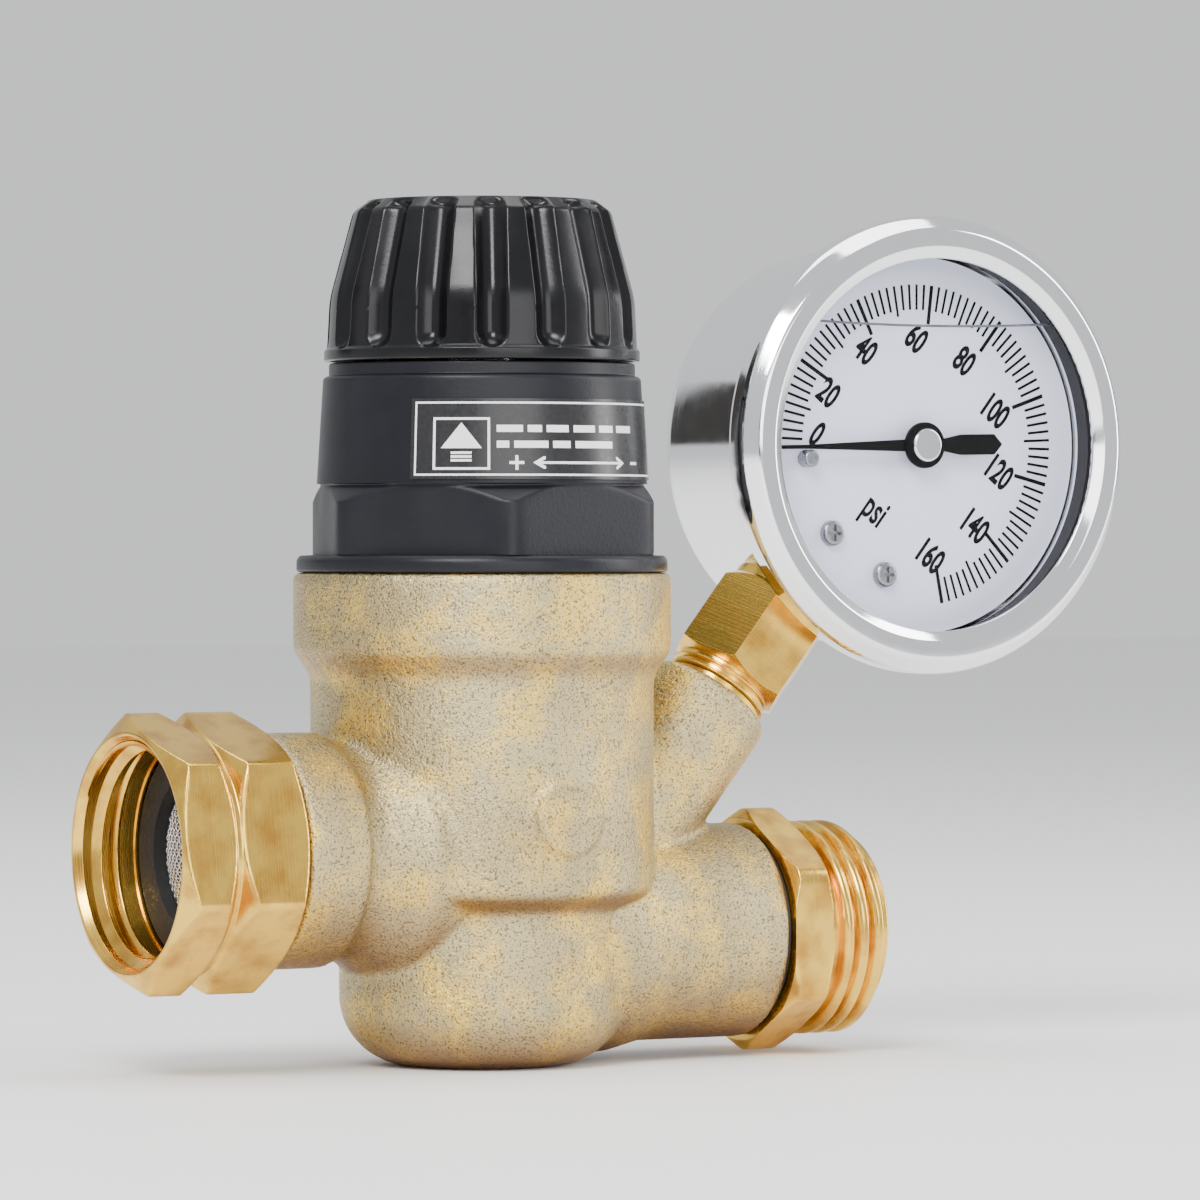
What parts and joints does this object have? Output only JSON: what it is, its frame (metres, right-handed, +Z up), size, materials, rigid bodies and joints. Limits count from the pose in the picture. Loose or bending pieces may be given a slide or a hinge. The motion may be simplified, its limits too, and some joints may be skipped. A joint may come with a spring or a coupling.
{
  "type": "adjustable water pressure regulator with gauge",
  "caption": "Brass water pressure regulator with a swivel hose nut, hose-thread outlet, tilted dial gauge and black adjusting knob.",
  "frame": {"origin": "centre of the flat underside", "axes": "+X along the flow towards the outlet, -Y towards the gauge's dial side, +Z up along the knob's axis"},
  "size_m": [0.1365, 0.0464, 0.106],
  "materials": {
    "cast_brass": "shot-blasted casting, dull and grainy",
    "machined_brass": "turned and milled, bright",
    "movement_brass": "stamped sheet, satin",
    "black_plastic": "moulded, satin",
    "knob_plastic": "moulded, glossy",
    "label_print": "printed wrap, semi-gloss",
    "rubber": "moulded rubber",
    "stainless": "polished stainless steel",
    "steel": "plain steel",
    "dial_face": "matt lacquer",
    "pointer_black": "satin lacquer",
    "clear_lens": "clear window"
  },
  "bodies": {
    "housing": {"valve_body": "cast_brass", "seat_ring": "machined_brass", "stem_guide": "machined_brass", "guide_o_ring": "rubber", "stem_o_ring": "rubber", "slip_ring": "steel", "bonnet": "black_plastic", "bonnet_label": "label_print", "diaphragm": "rubber", "main_spring": "steel", "thrust_washer": "steel", "inlet_tailpiece": "machined_brass", "inlet_washer": "rubber", "filter_screen": "steel", "outlet_seal": "rubber", "outlet_adapter": "machined_brass", "fill_plug": "rubber", "bezel": "stainless", "bezel_gasket": "rubber", "lens": "clear_lens", "dial": "dial_face", "dial_screws": "steel", "stop_pin": "steel", "bourdon_tube": "movement_brass", "tube_tip": "machined_brass", "movement_back_plate": "movement_brass", "movement_front_plate": "movement_brass", "movement_pillars": "movement_brass", "movement_screws": "steel", "hairspring": "movement_brass", "gauge_stem": "machined_brass", "gauge_case": "stainless"},
    "valve": {"valve_stem": "machined_brass", "disc_holder": "machined_brass", "valve_disc": "rubber", "disc_nut": "machined_brass", "lower_washer": "machined_brass", "diaphragm_plate": "steel", "diaphragm_nut": "steel"},
    "adjuster_nut": {"spring_nut": "machined_brass"},
    "adjuster_screw": {"adjusting_screw": "steel", "hub_clip": "steel"},
    "knob_body": {"knob": "knob_plastic", "knob_hub": "black_plastic"},
    "inlet_nut": {"swivel_nut": "machined_brass"},
    "pointer_body": {"pointer": "pointer_black", "pointer_cap": "stainless", "pinion": "steel"},
    "sector_body": {"sector": "movement_brass"},
    "link_body": {"link": "movement_brass"}
  },
  "joints": [
    {"name": "stem_lift", "type": "slide", "parent": "housing", "child": "valve", "axis": [0, 0, 1], "range_m": [0, 0.002], "deforming": ["diaphragm"]},
    {"name": "spring_nut_travel", "type": "slide", "parent": "housing", "child": "adjuster_nut", "axis": [0, 0, 1], "range_m": [-0.004, 0.004], "deforming": ["main_spring"]},
    {"name": "knob_turn", "type": "hinge", "parent": "housing", "child": "adjuster_screw", "pos_m": [0, 0, 0.08], "axis": [0, 0, 1], "range_deg": [-720, 720]},
    {"name": "knob_lift", "type": "slide", "parent": "adjuster_screw", "child": "knob_body", "axis": [0, 0, 1], "range_m": [0, 0.004]},
    {"name": "swivel_nut_turn", "type": "hinge", "parent": "housing", "child": "inlet_nut", "pos_m": [-0.036, 0, 0.0268], "axis": [1, 0, 0], "continuous": true},
    {"name": "pointer_turn", "type": "hinge", "parent": "housing", "child": "pointer_body", "pos_m": [0.05868, 0, 0.07631], "axis": [0, 1, 0], "range_deg": [0, 260]},
    {"name": "sector_turn", "type": "hinge", "parent": "housing", "child": "sector_body", "pos_m": [0.05481, 0, 0.06915], "axis": [0, 1, 0], "range_deg": [-32.5, 0]},
    {"name": "link_turn", "type": "hinge", "parent": "sector_body", "child": "link_body", "pos_m": [0.05668, 0, 0.06241], "axis": [0, 1, 0], "range_deg": [0, 32.5]}
  ],
  "couplings": [
    {"joint": "knob_turn", "follows": "spring_nut_travel", "rad_per_m": 3141.6},
    {"joint": "sector_turn", "follows": "pointer_turn", "ratio": -0.125},
    {"joint": "link_turn", "follows": "pointer_turn", "ratio": 0.125}
  ]
}
